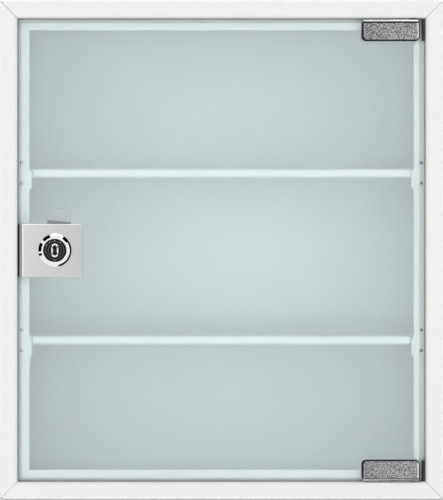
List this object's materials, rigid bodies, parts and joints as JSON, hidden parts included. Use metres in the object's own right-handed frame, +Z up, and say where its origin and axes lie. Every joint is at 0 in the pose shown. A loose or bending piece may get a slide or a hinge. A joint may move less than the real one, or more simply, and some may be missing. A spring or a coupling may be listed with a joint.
{
  "type": "lockable medicine cabinet",
  "caption": "Wall-hung white steel medicine cabinet with fixed shelves and a frosted glass door on pivot hinges, closed by a cam lock.",
  "frame": {"origin": "bottom centre of the cabinet's overall box, which takes in the lock ring that stands proud of the front", "axes": "+X to the right as seen from the front, +Y from the door to the wall, +Z up"},
  "size_m": [0.32, 0.2023, 0.36],
  "materials": {
    "body_paint": "white powder coat, satin",
    "rivet_aluminium": "plain",
    "nylon": "moulded, black",
    "rubber": "matt",
    "frosted_glass": "etched, edges ground",
    "cast_zinc": "satin nickel-plated die casting",
    "plain_steel": "zinc-plated",
    "brushed_stainless": "fine brushed",
    "chrome": "polished",
    "lock_face": "black oxide, turned",
    "brass": "stamped"
  },
  "bodies": {
    "cabinet": {"side_panel_left": "body_paint", "side_panel_right": "body_paint", "top_panel": "body_paint", "bottom_panel": "body_paint", "back_panel": "body_paint", "shelf_upper": "body_paint", "shelf_lower": "body_paint", "shelf_rail_upper_left": "body_paint", "shelf_rail_upper_right": "body_paint", "shelf_rail_lower_left": "body_paint", "shelf_rail_lower_right": "body_paint", "shelf_rivets": "rivet_aluminium", "hinge_bush_upper": "nylon", "hinge_bush_lower": "nylon", "door_buffer": "rubber"},
    "door": {"door_glass": "frosted_glass", "hinge_clamp_upper": "cast_zinc", "hinge_clamp_lower": "cast_zinc", "hinge_pads_upper": "rubber", "hinge_pads_lower": "rubber", "hinge_pin_upper": "plain_steel", "hinge_pin_lower": "plain_steel", "hinge_grub_screws": "plain_steel", "lock_clamp": "brushed_stainless", "lock_pads": "rubber", "lock_ring": "chrome", "lock_barrel": "chrome", "lock_washer": "plain_steel", "lock_nut": "plain_steel"},
    "lock_core": {"lock_plug": "lock_face", "lock_wafers": "brass", "lock_cam": "plain_steel", "cam_washer": "plain_steel", "cam_screw": "plain_steel"}
  },
  "joints": [
    {"name": "door_hinge", "type": "hinge", "parent": "cabinet", "child": "door", "pos_m": [0.1383, -0.09615, 0.1797], "axis": [0, 0, 1], "range_deg": [0, 110]},
    {"name": "lock_turn", "type": "hinge", "parent": "door", "child": "lock_core", "pos_m": [-0.1202, -0.09215, 0.1797], "axis": [0, -1, 0], "range_deg": [0, 96]}
  ]
}
